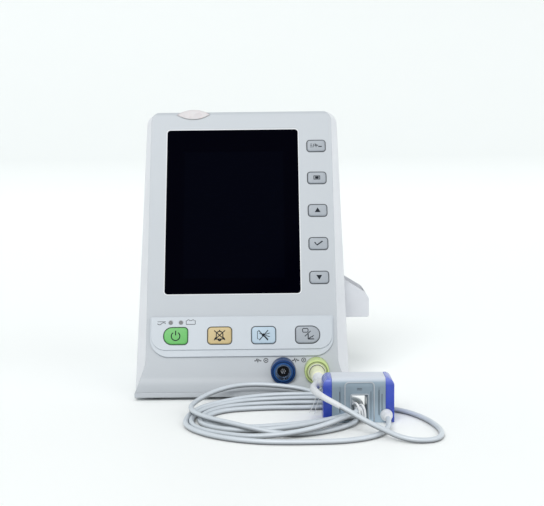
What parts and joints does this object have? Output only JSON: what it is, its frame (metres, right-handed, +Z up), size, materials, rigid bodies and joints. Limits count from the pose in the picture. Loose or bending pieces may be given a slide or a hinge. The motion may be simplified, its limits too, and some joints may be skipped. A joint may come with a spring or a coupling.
{
  "type": "patient monitor",
  "caption": "Portable bedside oxygen and carbon dioxide monitor with a leaning screen, push keys, rear battery door and a breathing-gas sensor on a coiled lead.",
  "frame": {"origin": "on the table, under the middle of the housing's base, where the rubber feet stand", "axes": "+Z up, -Y towards the user in front of the screen, +X to the user's right"},
  "size_m": [0.2393, 0.285, 0.2387],
  "materials": {
    "housing_white": "fine satin texture",
    "panel_white": "smooth satin",
    "screen_glass": "polished dark glass",
    "black_foam": "soft foam tape",
    "display_panel": "glass over a metal-edged display",
    "sheet_steel": "zinc-plated steel",
    "circuit_board": "solder mask",
    "lamp_lens": "frosted translucent lens",
    "dark_lens": "smoked lens",
    "brass_insert": "turned, knurled",
    "rubber_foot": "matte rubber",
    "door_grey": "fine satin texture",
    "battery_wrap": "shrink sleeve",
    "black_plastic": "satin black",
    "plated_brass": "nickel plated",
    "speaker_black": "paper cone and steel basket",
    "collar_blue": "anodised blue",
    "collar_green": "anodised yellow-green",
    "chrome_ring": "polished",
    "white_ring": "smooth",
    "plug_cream": "smooth moulded",
    "boot_white": "soft moulded",
    "sensor_grey": "satin grey",
    "sensor_blue": "translucent royal blue",
    "sapphire": "polished",
    "lead_white": "smooth flexible jacket",
    "tie_clear": "clear glossy plastic",
    "key_grey": "soft key",
    "key_green": "soft key",
    "key_orange": "soft key",
    "key_blue": "soft key"
  },
  "bodies": {
    "housing": {"front_bezel": "housing_white", "rear_case": "housing_white", "side_holder": "housing_white", "key_panel": "panel_white", "screen_window": "screen_glass", "window_gasket": "black_foam", "lcd_module": "display_panel", "lcd_bracket": "sheet_steel", "board_screws": "sheet_steel", "case_screws": "sheet_steel", "inlet_screws": "sheet_steel", "holder_screws": "sheet_steel", "hinge_pin": "sheet_steel", "main_board": "circuit_board", "lamp_board": "circuit_board", "side_key_board": "circuit_board", "front_key_board": "circuit_board", "connector_board": "circuit_board", "power_module": "circuit_board", "alarm_lamp": "lamp_lens", "indicator_leds": "dark_lens", "case_inserts": "brass_insert", "base_inserts": "brass_insert", "rubber_feet": "rubber_foot", "battery_pack": "battery_wrap", "mains_inlet": "black_plastic", "network_port": "black_plastic", "oxygen_core": "black_plastic", "gas_core": "black_plastic", "earth_post": "plated_brass", "speaker": "speaker_black", "oxygen_collar": "collar_blue", "gas_collar": "collar_green", "oxygen_shell": "chrome_ring", "gas_shell": "white_ring", "gas_plug": "plug_cream", "plug_boot": "boot_white", "sensor_relief": "boot_white", "sensor_body": "sensor_grey", "sensor_arches": "sensor_grey", "sensor_cap_left": "sensor_blue", "sensor_cap_right": "sensor_blue", "sensor_windows": "sapphire", "sensor_lead": "lead_white", "lead_tail": "lead_white", "lead_coil": "lead_white", "lead_ties": "tie_clear"},
    "side_key_1_body": {"side_key_1": "key_grey"},
    "side_key_2_body": {"side_key_2": "key_grey"},
    "side_key_3_body": {"side_key_3": "key_grey"},
    "side_key_4_body": {"side_key_4": "key_grey"},
    "side_key_5_body": {"side_key_5": "key_grey"},
    "power_key_body": {"power_key": "key_green"},
    "alarm_key_body": {"alarm_key": "key_orange"},
    "mute_key_body": {"mute_key": "key_blue"},
    "trend_key_body": {"trend_key": "key_grey"},
    "battery_door_body": {"battery_door": "door_grey"}
  },
  "joints": [
    {"name": "side_key_1_press", "type": "slide", "parent": "housing", "child": "side_key_1_body", "axis": [0, 0.9229, -0.3851], "range_m": [0, 0.001], "stiffness_N_per_m": 800, "springref_m": -0.0008},
    {"name": "side_key_2_press", "type": "slide", "parent": "housing", "child": "side_key_2_body", "axis": [0, 0.9229, -0.3851], "range_m": [0, 0.001], "stiffness_N_per_m": 800, "springref_m": -0.0008},
    {"name": "side_key_3_press", "type": "slide", "parent": "housing", "child": "side_key_3_body", "axis": [0, 0.9229, -0.3851], "range_m": [0, 0.001], "stiffness_N_per_m": 800, "springref_m": -0.0008},
    {"name": "side_key_4_press", "type": "slide", "parent": "housing", "child": "side_key_4_body", "axis": [0, 0.9229, -0.3851], "range_m": [0, 0.001], "stiffness_N_per_m": 800, "springref_m": -0.0008},
    {"name": "side_key_5_press", "type": "slide", "parent": "housing", "child": "side_key_5_body", "axis": [0, 0.9229, -0.3851], "range_m": [0, 0.001], "stiffness_N_per_m": 800, "springref_m": -0.0008},
    {"name": "power_key_press", "type": "slide", "parent": "housing", "child": "power_key_body", "axis": [0, 0.9229, -0.3851], "range_m": [0, 0.001], "stiffness_N_per_m": 800, "springref_m": -0.0008},
    {"name": "alarm_key_press", "type": "slide", "parent": "housing", "child": "alarm_key_body", "axis": [0, 0.9229, -0.3851], "range_m": [0, 0.001], "stiffness_N_per_m": 800, "springref_m": -0.0008},
    {"name": "mute_key_press", "type": "slide", "parent": "housing", "child": "mute_key_body", "axis": [0, 0.9229, -0.3851], "range_m": [0, 0.001], "stiffness_N_per_m": 800, "springref_m": -0.0008},
    {"name": "trend_key_press", "type": "slide", "parent": "housing", "child": "trend_key_body", "axis": [0, 0.9229, -0.3851], "range_m": [0, 0.001], "stiffness_N_per_m": 800, "springref_m": -0.0008},
    {"name": "battery_door_hinge", "type": "hinge", "parent": "housing", "child": "battery_door_body", "pos_m": [-0.068, 0.0753, 0.035], "axis": [0, 0, 1], "range_deg": [0, 100]}
  ]
}
